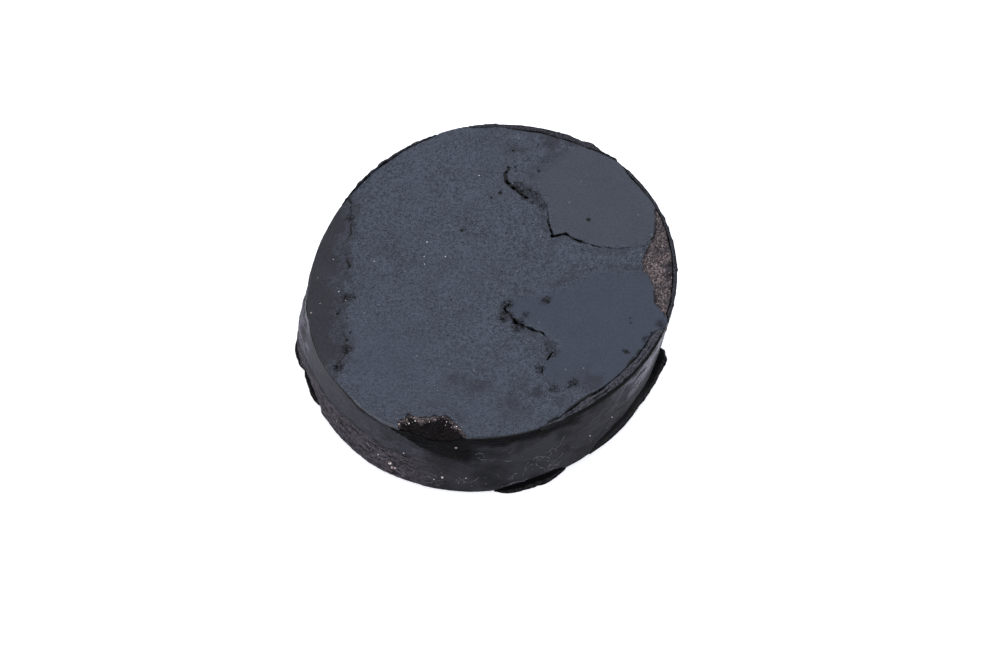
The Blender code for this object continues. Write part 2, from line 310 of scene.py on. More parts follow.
def wall_radius(theta, z):
    share = z / TOP_Z
    return foot_radius(theta) * (1 - share) + rim_radius(theta) * share


def on_wall(theta, z):
    """Places on the wall as 3D points, so that noise runs round it with no join."""
    return at_angle(NOISE_RADIUS, theta, z)


def swipe(theta, z):
    """1 on the smooth band swiped across the front left of the wall."""
    degrees = np.degrees(theta) % 360.0
    angles, low, high = np.array(SWIPE).T
    wobble = 0.12 * fractal(on_wall(theta, 0.0), 2.0, 2, 37)
    low = np.interp(degrees, angles, low) + wobble
    high = np.interp(degrees, angles, high) + 0.5 * wobble
    band = ramp(z, low - 0.3, low + 0.25) * ramp(z, high + 0.05, high - 0.15)
    return band * in_sector(theta, 190.0, 245.0, 6.0)


def rough(theta, z):
    """How strongly the wall is scored along its length, from 0 to 1."""
    scored = 0.25 + 0.75 * in_sector(theta, 168.0, 238.0, 14.0)
    smooth = in_sector(theta, 262.0, 325.0, 20.0) * 0.25
    return np.clip(scored - smooth, 0.0, 1.0) * (1 - swipe(theta, z))


def wall_relief(theta, z):
    """How far the wall's surface stands out of its plain form."""
    z = z + 0 * theta
    degrees = np.degrees(theta) % 360.0
    place = on_wall(theta, z)
    scored = place * (1.0, 1.0, 4.5)
    calm = 1 - ramp(z, 9.6, 10.9)
    relief = 0.12 * fractal(place, 7.0, 2, 31) * calm
    relief += 0.10 * rough(theta, z) * fractal(scored, 3.0, 4, 33, 0.7) * (0.3 + 0.7 * calm)
    relief += 0.016 * fractal(place, 0.7, 3, 35)
    relief -= 0.10 * swipe(theta, z)
    # The left side bulges low down, and is undercut in front of that.
    relief += 0.60 * bell(degrees - 179.0, 9.5) * ramp(z, 10.8, 3.0)
    relief -= 0.25 * in_sector(theta, 189.0, 202.0, 3.0) * ramp(z, 2.4, 0.6)
    return relief


def seam_fields(points):
    """Distances into each lobe and facet, with their torn outlines."""
    loose = spots(points, CRUMBS)
    torn = 0.11 * fractal(points, 0.7, 3, 5, 0.8) * (0.6 + 1.4 * loose)
    rear = edge_distance(points, REAR_LOBE) + torn
    front = edge_distance(points, FRONT_LOBE) + torn
    left = edge_distance(points, LEFT_FACET) + 1.2 * torn
    return rear, front, left


def smear(points):
    """1 on the smooth smeared lobes and facet, 0 on the grainy field."""
    rear, front, left = seam_fields(points)
    lobes = np.maximum(ramp(rear, -0.2, 0.9), ramp(front, -0.2, 0.9))
    corner = spots(points, ((-11.5, -9.5, 5.5, 0.6), (-3.0, -14.5, 6.0, 0.35)))
    facet = ramp(left + 0.35 * fractal(points, 1.1, 2, 8), 0.0, 0.8)
    return np.maximum.reduce([lobes, facet, corner])


def top_drop(points):
    """How far the left facet lies below the flat top."""
    left = edge_distance(points, LEFT_FACET)
    return FACET_SLOPE * np.clip(left, 0.0, 4.5) + FACET_STEP * ramp(left, -0.15, 0.15)


def crumbled(points):
    """Black pits between the grains of the crumbling places, from 0 to 1."""
    pitted = ramp(fractal(points, 0.42, 2, 15), 0.02, 0.40)
    return ramp(spots(points, CRUMBS), 0.15, 0.7) * pitted


def top_relief(points):
    """Fine form of the top skins, measured square to them."""
    rear, front, left = seam_fields(points)
    grainy = 1 - 0.8 * smear(points)
    relief = 0.09 * fractal(points, 8.0, 2, 1)
    relief += 0.025 * fractal(points, 2.2, 2, 2) * (0.4 + 0.6 * grainy)
    relief += 0.022 * fractal(points, 0.6, 3, 3, 0.7) * grainy
    near_crack = ramp(points[:, 1], 12.5, 9.5)
    relief += 0.09 * ramp(rear, -0.5, 0.2) * near_crack + 0.07 * ramp(front, -0.6, 0.2)
    relief += 0.07 * spots(points, CRUMBS) * np.abs(fractal(points, 0.5, 2, 7))
    relief -= 0.20 * crumbled(points)
    relief -= PIT_DEPTH * spots(points, PITS)
    ripples = bell(left + 0.6, 1.3) * ramp(points[:, 1], -3.0, 1.0)
    relief += 0.06 * ripples * fractal(points * (1.0, 2.2), 0.8, 2, 6)
    # A soft hollow lies behind the rear lobe.
    relief -= 0.10 * spots(points, ((6.0, 17.6, 3.0, 1.0), (8.0, 18.8, 2.5, 0.8)))
    return relief


def rounding(theta):
    """Radius of the turn at the rim."""
    turn = 0.12 + 0.04 * in_sector(theta, 142.0, 222.0, 5.0)
    return turn + 0.38 * in_sector(theta, 226.0, 242.0, 6.0)


def polar(points):
    return np.hypot(points[:, 0], points[:, 1]), np.arctan2(points[:, 1], points[:, 0])


def flat_place(points):
    """The points pulled in to where the top starts to turn over the rim."""
    radius, theta = polar(points)
    flat = rim_radius(theta) - rounding(theta)
    return points * np.minimum(1.0, flat / np.maximum(radius, 1e-6))[:, None]


def rim_level(theta):
    """Height of the top at the rim."""
    return TOP_Z - top_drop(in_plan(rim_radius(theta) - rounding(theta), theta))


def skin_edge_z(theta):
    """Height of the torn line just below the rim where the top skins end."""
    lap = 0.04 + 0.45 * in_sector(theta, 226.0, 240.0, 4.0)
    return rim_level(theta) - rounding(theta) - lap + 0.03 * fractal(on_wall(theta, 0.0), 1.2, 3, 41)


def flash_share(theta):
    """1 beside a rim flash and 0 away from it."""
    shares = [in_sector(theta, row[0], row[1], FLASH_END) for row in RIM_FLASHES.values()]
    return np.maximum.reduce(shares)


def past_ends(degrees, row):
    """Angles from both ends of a rim flash, positive along it."""
    off = (degrees - row[0] + 180.0) % 360.0 - 180.0
    off = np.where(off < -90.0, off + 360.0, off)
    return off, row[1] - row[0] - off


def flash_widths(theta, row):
    """Width along one rim flash, narrowing to its ends."""
    after, before = past_ends(np.degrees(theta), row)
    taper = ramp(after, -0.2 * row[2], row[2]) * ramp(before, -0.2 * row[3], row[3])
    wide = row[4] + row[5] * fractal(on_wall(theta, 0.0), 3.6, 3, 43)
    return np.maximum(wide * taper, THIN_FLASH)


def flash_width(theta):
    """Width of the room left for the rim flashes."""
    widths = [
        in_sector(theta, row[0], row[1], FLASH_END) * flash_widths(theta, row)
        for row in RIM_FLASHES.values()
    ]
    return np.maximum.reduce(widths)


def over_rim(points):
    """Top skins: a plane whose outer part turns over the rim and runs down the wall."""
    radius, theta = polar(points)
    turn = rounding(theta)
    flat = rim_radius(theta) - turn
    past = np.maximum(radius - flat, 0.0)
    angle = np.minimum(past / turn, math.pi / 2)
    down = np.maximum(past - turn * math.pi / 2, 0.0)
    level = TOP_Z - top_drop(flat_place(points))
    z = level - turn * (1 - np.cos(angle)) - down
    lean = (wall_radius(theta, z) - wall_radius(theta, level)) * np.sin(angle)
    r = np.minimum(radius, flat) + turn * np.sin(angle) + lean
    fine = top_relief(points) * np.cos(angle) ** 2
    fine = fine + wall_relief(theta, z) * np.sin(angle) ** 2
    r = r + fine * np.sin(angle)
    z = z + fine * np.cos(angle)
    return at_angle(r, theta, z)


def turned_down(points):
    """1 where a top skin has turned over the rim onto the wall."""
    radius, theta = polar(points)
    turn = rounding(theta)
    past = (radius - rim_radius(theta) + turn) / turn
    lapped = in_sector(theta, 224.0, 243.0, 5.0)
    return ramp(past, 0.5, 1.3) * (1 - 0.8 * lapped)


def skin_reach(points):
    """Distance left before the top skins end, at the rim flash or on the wall."""
    radius, theta = polar(points)
    turn = rounding(theta)
    wall_end = rim_radius(theta) + turn * (math.pi / 2 - 2) + rim_level(theta) - skin_edge_z(theta)
    flash_end = rim_radius(theta) - flash_width(theta)
    return blend(wall_end, flash_end, flash_share(theta)) - radius


def under_skin(points):
    """Underside of the top skins, a plane on the core."""
    radius, theta = polar(points)
    reach = radius + skin_reach(points)
    outer = np.minimum(reach, rim_radius(theta) - SKIN_INSET)
    r = radius * outer / np.maximum(reach, 1e-6)
    return at_angle(r, theta, SKIN_FLOOR)


# ---------------------------------------------------------------- mesh making


def triangle_grid(width, step):
    """A square sheet of near-equal triangles centred on the origin."""
    rise = step * math.sqrt(3) / 2
    columns = int(width / step) + 2
    rows = int(width / rise) + 2
    x, y = np.meshgrid(np.arange(columns), np.arange(rows))
    points = np.stack([(x + 0.5 * (y % 2)) * step - width / 2, y * rise - width / 2], axis=2)
    corner = (y[:-1, :-1] * columns + x[:-1, :-1]).ravel()
    odd = (y[:-1, :-1] % 2).ravel().astype(bool)[:, None]
    right = corner + 1
    up = corner + columns
    far = up + 1
    first = np.where(odd, np.stack([corner, right, far], 1), np.stack([corner, right, up], 1))
    second = np.where(odd, np.stack([corner, far, up], 1), np.stack([right, far, up], 1))
    return points.reshape(-1, 2), np.concatenate([first, second])


def ring_grid(rows):
    """A closed band round the wall: angle and row position, rows being their own values."""
    count = int(2 * math.pi * MEAN_RADIUS / WALL_CELL)
    angles = np.linspace(0.0, 2 * math.pi, count, endpoint=False)
    points = np.stack(np.meshgrid(angles, rows), axis=2).reshape(-1, 2)
    x, y = np.meshgrid(np.arange(count), np.arange(len(rows) - 1))
    corner = (y * count + x).ravel()
    right = (y * count + (x + 1) % count).ravel()
    first = np.stack([corner, right, right + count], axis=1)
    second = np.stack([corner, right + count, corner + count], axis=1)
    return points, np.concatenate([first, second])


SNAP = 0.15


def clip(points, faces, field):
    """The part of a sheet where the field is positive, cut straight across its triangles."""
    field = field.copy()
    ends = np.concatenate([faces[:, [0, 1]], faces[:, [1, 2]], faces[:, [2, 0]]])
    a, b = field[ends[:, 0]], field[ends[:, 1]]
    crossing = a * b < 0
    share = np.where(crossing, a / np.where(crossing, a - b, 1.0), 0.5)
    field[ends[crossing & (share < SNAP), 0]] = 0.0
    field[ends[crossing & (share > 1 - SNAP), 1]] = 0.0
    signs = np.sign(field[faces])
    whole = (signs.min(axis=1) >= 0) & (signs.max(axis=1) > 0)
    mixed = (signs.min(axis=1) < 0) & (signs.max(axis=1) > 0)
    kept = [tuple(face) for face in faces[whole].tolist()]
    added = {}
    new_points = []

    def cut_point(p, q):
        key = (min(p, q), max(p, q))
        if key not in added:
            share = field[key[0]] / (field[key[0]] - field[key[1]])
            new_points.append(points[key[0]] + share * (points[key[1]] - points[key[0]]))
            added[key] = len(points) + len(new_points) - 1
        return added[key]

    for face in faces[mixed].tolist():
        loop = []
        for here, there in zip(face, face[1:] + face[:1]):
            if field[here] >= 0:
                loop.append(here)
            if field[here] * field[there] < 0:
                loop.append(cut_point(here, there))
        for i in range(1, len(loop) - 1):
            kept.append((loop[0], loop[i], loop[i + 1]))
    if new_points:
        points = np.concatenate([points, np.array(new_points)])
    return points, np.array(kept)


def largest(points, faces):
    """Only the biggest connected sheet, renumbered."""
    parent = list(range(len(points)))

    def root(i):
        while parent[i] != i:
            parent[i] = parent[parent[i]]
            i = parent[i]
        return i

    for a, b, c in faces.tolist():
        top = root(a)
        parent[root(b)] = top
        parent[root(c)] = top
    owner = np.array([root(i) for i in faces[:, 0].tolist()])
    names, counts = np.unique(owner, return_counts=True)
    faces = faces[owner == names[counts.argmax()]]
    used = np.unique(faces)
    renumber = np.zeros(len(points), np.int64)
    renumber[used] = np.arange(len(used))
    return points[used], renumber[faces]


def rim_edges(faces):
    """Edges that only one triangle uses, in that triangle's direction."""
    ends = np.concatenate([faces[:, [0, 1]], faces[:, [1, 2]], faces[:, [2, 0]]])
    _, back, count = np.unique(
        np.sort(ends, axis=1), axis=0, return_inverse=True, return_counts=True
    )
    return ends[count[back.ravel()] == 1]


def add_field(piece, key, values):
    layer = piece.data.attributes.new(key, "FLOAT", "POINT")
    layer.data.foreach_set("value", np.asarray(values, np.float32))


def shell(name, points, faces, outer, inner, coat, fields):
    """A closed piece between an outer and an inner surface over the same sheet."""
    points, faces = largest(points, faces)
    count = len(points)
    edges = rim_edges(faces)
    sides = np.stack([edges[:, 1], edges[:, 0], edges[:, 0] + count, edges[:, 1] + count], axis=1)
    places = np.concatenate([outer(points), inner(points)])
    polygons = faces.tolist() + (faces[:, ::-1] + count).tolist() + sides.tolist()
    piece = solid(name, places, polygons, coat)
    for key, field in fields.items():
        add_field(piece, key, np.tile(field(points), 2))
    return piece


def add_object(name, data):
    piece = bpy.data.objects.new(name, data)
    bpy.context.scene.collection.objects.link(piece)
    return piece


def solid(name, places, polygons, coat, sharp=50.0):
    mesh = bpy.data.meshes.new(name)
    mesh.from_pydata((np.asarray(places) * MM).tolist(), [], polygons)
    mesh.materials.append(coat)
    mesh.shade_smooth()
    mesh.set_sharp_from_angle(angle=math.radians(sharp))
    return add_object(name, mesh)


def strip(name, theta, corners, coat, soot_and_shade_levels):
    """A closed strip round the cake from the corners of its section, each a radius and a height."""
    places = np.stack([at_angle(r, theta, z) for r, z in corners], axis=1).reshape(-1, 3)
    count = len(corners)
    last = len(theta) - 1
    polygons = [tuple(range(count))[::-1], tuple(range(last * count, (last + 1) * count))]
    for row in range(last):
        here, there = row * count, (row + 1) * count
        for i in range(count):
            j = (i + 1) % count
            polygons.append((here + i, here + j, there + j, there + i))
    piece = solid(name, places, polygons, coat)
    add_field(piece, "soot_and_shade", np.stack([value + 0 * theta for value in soot_and_shade_levels], axis=1).ravel())
    return piece


def place_piece(piece, slot, *nodes):
    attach(piece, "root")
    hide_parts(*nodes)


# ---------------------------------------------------------------- materials


class Nodes:
    """Short hand for wiring one material."""

    def __init__(self, name, gloss=0.17):
        self.material = bpy.data.materials.new(name)
        self.material.use_nodes = True
        self.tree = self.material.node_tree
        self.shader = self.tree.nodes["Principled BSDF"]
        self.shader.inputs["Specular IOR Level"].default_value = gloss
        self.place = self.new("TexCoord").outputs["Object"]

    def link(self, source, target):
        self.tree.links.new(source, target)

    def new(self, kind, **inputs):
        """A new shader node with some of its inputs set."""
        node = self.tree.nodes.new("ShaderNode" + kind)
        for key, value in inputs.items():
            node.inputs[key].default_value = value
        return node

    def noise(self, size, detail=3.0, rough=0.55, stretch=None):
        """Noise with lumps about this size in millimetres."""
        node = self.new("TexNoise", Scale=1.0 / (size * MM), Detail=detail, Roughness=rough)
        place = self.place
        if stretch:
            mapping = self.new("Mapping", Scale=stretch)
            self.link(place, mapping.inputs["Vector"])
            place = mapping.outputs["Vector"]
        self.link(place, node.inputs["Vector"])
        return node.outputs["Fac"]

    def specks(self, size, reach, seed=0.0):
        """1 in small round specks scattered at about this spacing in millimetres, else 0."""
        node = self.new("TexVoronoi", Scale=1.0 / (size * MM))
        moved = self.new("VectorMath")
        moved.operation = "ADD"
        moved.inputs[1].default_value = (seed, seed, seed)
        self.link(self.place, moved.inputs[0])
        self.link(moved.outputs[0], node.inputs["Vector"])
        return self.ramp(node.outputs["Distance"], (reach, 1.0), (reach * 1.5, 0.0))

    def crazing(self, size, width):
        """1 on the lines of a net of cracks with cells of about this size, else 0."""
        node = self.new("TexVoronoi", Scale=1.0 / (size * MM))
        node.feature = "DISTANCE_TO_EDGE"
        self.link(self.place, node.inputs["Vector"])
        return self.ramp(node.outputs["Distance"], (width, 1.0), (2.5 * width, 0.0))

    def attribute(self, name):
        node = self.new("Attribute")
        node.attribute_name = name
        return node.outputs["Fac"]

    def ramp(self, source, *stops):
        """Maps a value through stops of (position, value)."""
        node = self.new("ValToRGB")
        elements = node.color_ramp.elements
        while len(elements) < len(stops):
            elements.new(0.5)
        for element, (position, value) in zip(elements, stops):
            element.position = position
            element.color = (value, value, value, 1.0) if isinstance(value, float) else (*value, 1.0)
        self.link(source, node.inputs["Fac"])
        return node.outputs["Color"]

    def math(self, operation, a, b):
        node = self.new("Math")
        node.operation = operation
        for i, value in enumerate((a, b)):
            if isinstance(value, float):
                node.inputs[i].default_value = value
            else:
                self.link(value, node.inputs[i])
        return node.outputs[0]

    def times(self, a, b):
        return self.math("MULTIPLY", a, b)

    def plus(self, a, b):
        return self.math("ADD", a, b)

    def without(self, share, a):
        """1 less a share of a."""
        return self.math("SUBTRACT", 1.0, self.times(a, share))

    def tones(self, source, low, high, dark, light):
        """Runs from the dark to the light colour as a value goes from low to high."""
        return self.mix(self.ramp(source, (low, 0.0), (high, 1.0)), dark, light)

    def mix(self, share, a, b):
        """Colour a to colour b by share."""
        node = self.new("Mix")
        node.data_type = "RGBA"
        self.link(share, node.inputs["Factor"])
        for value, socket in ((a, node.inputs[6]), (b, node.inputs[7])):
            if isinstance(value, tuple):
                socket.default_value = (*value, 1.0)
            else:
                self.link(value, socket)
        return node.outputs[2]

    def colour(self, source):
        self.link(source, self.shader.inputs["Base Color"])

    def roughness(self, source):
        self.link(source, self.shader.inputs["Roughness"])

    def bump(self, height, distance, strength=1.0):
        node = self.new("Bump", Distance=distance * MM, Strength=strength)
        self.link(height, node.inputs["Height"])
        self.link(node.outputs["Normal"], self.shader.inputs["Normal"])


# Near-black for soot in seams, cracks and pits, and for painted shade under the rim.
SOOT_AND_SHADE = (0.0015, 0.0015, 0.0018)
# Near-black for the turned-down edge of the top skins, partly wall colour and partly painted shade.
WALL_DARK_AND_SHADE = (0.006, 0.006, 0.007)
GRAIN_LIGHT = (0.085, 0.090, 0.105)
# Dark purplish tone for smudges and for painted shade in hollows.
SMUDGE_AND_SHADE = (0.011, 0.010, 0.014)
TOP_DUST = (0.24, 0.22, 0.22)
WALL_DUST = (0.26, 0.22, 0.23)
# Pale lavender painted highlight for the wall's sheen mask.
PAINTED_SHEEN = (0.140, 0.138, 0.176)
GRIT_DARK = (0.018, 0.015, 0.016)
FLECK = (0.34, 0.25, 0.22)
# Pairs of tones, dark and light.
BORDER_TONES = ((0.008, 0.009, 0.011), (0.036, 0.040, 0.051))
WALL_TONES = ((0.011, 0.0112, 0.0135), (0.025, 0.024, 0.0295))
SCORED_TONES = ((0.004, 0.004, 0.0045), (0.078, 0.068, 0.080))
BAND_TONES = ((0.017, 0.017, 0.021), (0.040, 0.040, 0.048))
GRIT_TONES = ((0.050, 0.047, 0.050), (0.185, 0.145, 0.140))
DEEP_TONES = ((0.0015, 0.0012, 0.0013), (0.013, 0.0095, 0.0095))


def darken_soot_and_shade(nodes, grain, mottle, colour):
    """Blackens the soot field, which also holds painted shade, broken up into grains at its edges."""
    soot_and_shade_share = nodes.attribute("soot_and_shade")
    broken = nodes.plus(nodes.times(mottle, 0.65), nodes.times(grain, 0.3))
    soft = nodes.mix(nodes.times(soot_and_shade_share, 0.3), colour, SOOT_AND_SHADE)
    black = nodes.ramp(nodes.plus(soot_and_shade_share, broken), (0.80, 0.0), (0.88, 1.0))
    return nodes.mix(black, soft, SOOT_AND_SHADE)


def top_coat(name, dark, light, smooth_dark, smooth_light):
    """Burnished charcoal: fine grain on the field, calm tone on the smeared lobes."""
    nodes = Nodes(name)
    blotch = nodes.noise(2.6, 5.0)
    grain = nodes.noise(0.17, 2.0, 0.65)
    mottle = nodes.noise(0.45, 3.0, 0.65)
    fine = nodes.plus(nodes.times(grain, 0.55), nodes.times(mottle, 0.33))
    tone = nodes.plus(fine, nodes.times(blotch, 0.12))
    field = nodes.tones(tone, 0.40, 0.60, dark, light)
    deepest = nodes.ramp(grain, (0.30, 1.0), (0.37, 0.0))
    field = nodes.mix(nodes.times(deepest, nodes.ramp(mottle, (0.42, 1.0), (0.56, 0.1))), field, SOOT_AND_SHADE)
    patches = nodes.ramp(blotch, (0.42, 0.9), (0.62, 0.2))
    field = nodes.mix(nodes.times(nodes.specks(1.0, 0.075, 2.3), patches), field, SOOT_AND_SHADE)
    bright = nodes.times(nodes.ramp(grain, (0.66, 0.0), (0.75, 1.0)), 0.5)
    field = nodes.mix(bright, field, GRAIN_LIGHT)
    lobe = nodes.tones(tone, 0.40, 0.60, smooth_dark, smooth_light)
    colour = nodes.mix(nodes.attribute("smear"), field, lobe)
    edge = nodes.tones(tone, 0.40, 0.60, *BORDER_TONES)
    colour = nodes.mix(nodes.attribute("border"), colour, edge)
    # Painted shade: the smudge field darkens the hollow behind the rear lobe and the foot of the lobes'
    # edges, besides real smudges.
    colour = nodes.mix(nodes.times(nodes.attribute("smudge_and_shade"), 0.8), colour, SMUDGE_AND_SHADE)
    # Painted shade: where a top skin turns down over the rim it takes a near-black, partly the wall's own
    # tone and partly the shade under the rim's edge.
    colour = nodes.mix(nodes.attribute("turned"), colour, WALL_DARK_AND_SHADE)
    cracked = nodes.times(nodes.crazing(0.42, 0.05), nodes.attribute("crumb"))
    colour = darken_soot_and_shade(nodes, grain, mottle, nodes.mix(cracked, colour, SOOT_AND_SHADE))
    nodes.colour(nodes.mix(nodes.times(nodes.specks(1.7, 0.032, 0.7), 0.6), colour, TOP_DUST))
    nodes.roughness(nodes.ramp(mottle, (0.3, 0.44), (0.7, 0.60)))
    calm = nodes.without(0.75, nodes.attribute("smear"))
    nodes.bump(nodes.times(nodes.plus(grain, mottle), calm), 0.13, 0.9)
    return nodes.material


def wall_coat(name):
    """Scored charcoal: streaks run along the wall, calm on the swiped band."""
    nodes = Nodes(name, 0.02)
    streak = nodes.noise(1.3, 5.0, 0.65, (1.0, 1.0, 4.5))
    grain = nodes.noise(0.26, 3.0, 0.65)
    patchy = nodes.noise(3.5, 3.0)
    both = nodes.plus(nodes.times(streak, 0.55), nodes.times(grain, 0.45))
    plain = nodes.tones(patchy, 0.40, 0.60, *WALL_TONES)
    lined = nodes.tones(both, 0.41, 0.60, *SCORED_TONES)
    colour = nodes.mix(nodes.attribute("rough"), plain, lined)
    band = nodes.tones(both, 0.40, 0.60, *BAND_TONES)
    colour = nodes.mix(nodes.attribute("swipe"), colour, band)
    # Painted shade: the wall turns near-black under the rim, below the chip and along the foot.
    colour = nodes.mix(nodes.attribute("dark"), colour, SOOT_AND_SHADE)
    # Painted highlight: the sheen mask lays a pale sheen into the colour, broken up by grain.
    broken_up = nodes.times(nodes.attribute("sheen"), nodes.ramp(grain, (0.40, 0.1), (0.62, 1.0)))
    colour = nodes.mix(broken_up, colour, PAINTED_SHEEN)
    dust = nodes.times(nodes.specks(0.9, 0.06, 0.3), nodes.attribute("dust"))
    nodes.colour(nodes.mix(dust, colour, WALL_DUST))
    polish = nodes.times(nodes.attribute("sheen"), 0.34)
    nodes.roughness(nodes.math("SUBTRACT", nodes.ramp(streak, (0.3, 0.46), (0.7, 0.64)), polish))
    calm = nodes.without(0.65, nodes.attribute("swipe"))
    nodes.bump(nodes.times(nodes.plus(streak, nodes.times(grain, 1.2)), calm), 0.16, 1.0)
    return nodes.material


def core_coat(name):
    """Broken pressed grain: pinkish brown specks on dark grey."""
    nodes = Nodes(name, 0.10)
    grit = nodes.noise(0.20, 3.0, 0.75)
    light = nodes.tones(nodes.noise(1.3, 3.0), 0.38, 0.62, *GRIT_TONES)
    colour = nodes.tones(grit, 0.43, 0.62, GRIT_DARK, light)
    deep = nodes.tones(grit, 0.45, 0.65, *DEEP_TONES)
    colour = nodes.mix(nodes.attribute("deep"), colour, deep)
    fleck = nodes.times(nodes.specks(0.42, 0.14), nodes.attribute("fleck"))
    nodes.colour(nodes.mix(fleck, colour, FLECK))
    nodes.shader.inputs["Roughness"].default_value = 0.85
    nodes.bump(grit, 0.12, 0.9)
    return nodes.material


def flash_coat(name, dark, light, gloss, matt=0.50):
    """Thin torn charcoal, blackest where the soot field says so; at the rib's outer edge that blackness is
    painted shadow.
    """
    nodes = Nodes(name, gloss)
    grain = nodes.noise(0.20, 3.0, 0.65)
    mottle = nodes.noise(0.45, 3.0, 0.65)
    nodes.colour(darken_soot_and_shade(nodes, grain, mottle, nodes.tones(grain, 0.38, 0.62, dark, light)))
    nodes.roughness(nodes.ramp(grain, (0.3, matt), (0.7, matt + 0.16)))
    nodes.bump(grain, 0.11, 0.9)
    return nodes.material


def dust_coat(name, dark, light):
    nodes = Nodes(name, 0.1)
    nodes.colour(nodes.ramp(nodes.noise(0.5, 2.0), (0.38, dark), (0.58, light)))
    nodes.shader.inputs["Roughness"].default_value = 0.8
    return nodes.material


# ---------------------------------------------------------------- top skins

sheet_points, sheet_faces = triangle_grid(SHEET_WIDTH, CELL)
near = np.hypot(sheet_points[:, 0], sheet_points[:, 1]) < SHEET_RADIUS
sheet_faces = sheet_faces[near[sheet_faces].all(axis=1)]

rear_in, front_in, left_in = seam_fields(sheet_points)
open_by = np.maximum(1.0 + 1.2 * fractal(sheet_points, 0.45, 3, 9, 0.7), 0.1)
open_by = spots(sheet_points, OPENINGS) * open_by
open_by = np.maximum(open_by - 0.03, HAIRLINE)
torn_patch = edge_distance(sheet_points, PATCH) + 0.13 * fractal(sheet_points, 0.6, 3, 11, 0.7)
torn_chip = edge_distance(sheet_points, CHIP) + 0.14 * fractal(sheet_points, 0.6, 3, 12, 0.7)
crack_gap = path_gap(sheet_points, REAR_CRACK, REAR_CRACK_WIDTHS)
crack_gap = crack_gap + 0.15 * fractal(sheet_points, 0.45, 2, 13)


def smudge_and_shade(points):
    """Soft dark tone in the smudges, with painted shade in the hollow behind the rear lobe and on the
    field's side of the lobes' raised edges.
    """
    rear, front, left = seam_fields(points)
    nearby = bell(np.maximum(rear, front) + 0.4, 0.45)
    broken_up = ramp(fractal(points, 1.3, 3, 18), -0.4, 0.5)
    return np.clip(np.maximum(spots(points, SMUDGE_AND_SHADE_SPOTS), 0.55 * nearby) * broken_up, 0.0, 1.0)


def crumb(points):
    """1 where the skin has broken into loose grains."""
    loose = spots(points, CRUMBS) + 0.25 * fractal(points, 0.9, 2, 20)
    return ramp(loose, 0.25, 0.6)


def border(points):
    """1 along the facet's edge, where its tone and the top's run into each other."""
    left = edge_distance(points, LEFT_FACET)
    uneven = 0.55 * fractal(points, 0.6, 3, 19, 0.7)
    return ramp(left + uneven, -1.1, -0.2) * ramp(left + uneven, 1.5, 0.5)


def soot_and_shade(points):
    """Darkness gathered in and beside the open seams, the chip, the crack and the pits."""
    rear, front, left = seam_fields(points)
    seam = bell(np.minimum(np.abs(rear), np.abs(front)), 0.16)
    opened = spots(points, tuple((x, y, 1.2 * reach, 6 * gap) for x, y, reach, gap in OPENINGS))
    beside = bell(np.maximum(path_gap(points, REAR_CRACK, REAR_CRACK_WIDTHS), 0.0), 0.13)
    ragged = 0.6 * bell(left, 0.14) * ramp(fractal(points, 0.8, 2, 14), -0.3, 0.4)
    patch = 0.7 * bell(edge_distance(points, PATCH), 0.2)
    patch = patch * ramp(fractal(points, 1.0, 2, 16), -0.2, 0.3)
    theta = polar(points)[1]
    edge = np.maximum(skin_reach(points), 0.0)
    reach = 0.12 + 0.16 * in_sector(theta, -72.0, -25.0, 3.0)
    flash = 0.7 * bell(edge, reach) * flash_share(theta)
    flash = flash * ramp(fractal(points, 1.1, 3, 24), -0.9, 0.3)
    lip = bell(edge, 0.13)
    lip = lip * ramp(fractal(points, 1.2, 2, 22), -0.5, 0.0) * in_sector(theta, 208.0, 262.0, 6.0)
    seams = seam * np.minimum(opened, 1.0)
    pits = 1.3 * spots(points, PITS)
    loose = 0.3 * crumb(points)
    total = np.maximum.reduce([seams, 0.7 * beside, ragged, patch, loose, flash, pits, lip])
    return np.clip(total, 0.0, 1.0)


skin_fields = {"smear": smear, "soot_and_shade": soot_and_shade, "turned": turned_down}
skin_fields.update({"smudge_and_shade": smudge_and_shade, "border": border, "crumb": crumb})
reach_in = skin_reach(sheet_points)
lobes_in = np.maximum.reduce([rear_in, front_in, left_in]) + open_by
torn_in = np.maximum(torn_patch, torn_chip) + SEAM
main_field = np.minimum.reduce([-lobes_in, -torn_in, crack_gap, reach_in])
FIELD_TONES = ((0.014, 0.017, 0.024), (0.056, 0.065, 0.084))
skin_table = {
    "top_main": (main_field, "top_main", (*FIELD_TONES, (0.025, 0.030, 0.043), (0.038, 0.043, 0.060))),
    "top_lobe_rear": (
        np.minimum.reduce([rear_in - open_by, -torn_patch - SEAM, reach_in]),
        "top_lobe",
        (*FIELD_TONES, (0.022, 0.026, 0.036), (0.037, 0.042, 0.054)),
    ),
    "top_lobe_front": (
        np.minimum.reduce([front_in - open_by, -torn_patch - SEAM, reach_in]),
        "top_lobe",
        (*FIELD_TONES, (0.019, 0.023, 0.035), (0.031, 0.037, 0.052)),
    ),
    "top_facet_left": (
        np.minimum.reduce([left_in - open_by, reach_in]),
        "top_facet",
        ((0.011, 0.013, 0.016), (0.034, 0.038, 0.048), (0.010, 0.010, 0.013), (0.021, 0.021, 0.026)),
    ),
}
for name, (field, slot_name, tones) in skin_table.items():
    cut_points, cut_faces = clip(sheet_points, sheet_faces, field)
    skin_coat = top_coat(name + "_coat", *tones)
    skin = shell(name + "_skin", cut_points, cut_faces, over_rim, under_skin, skin_coat, skin_fields)
    place_piece(skin, slot_name, name)

# ---------------------------------------------------------------- core

CHIP_SLOPE = 0.50
CORE_LEVEL = 9.7
CORE_INSET = 2.0
CORE_REACH = 1.95
CORE_FOOT_INSET = 1.75


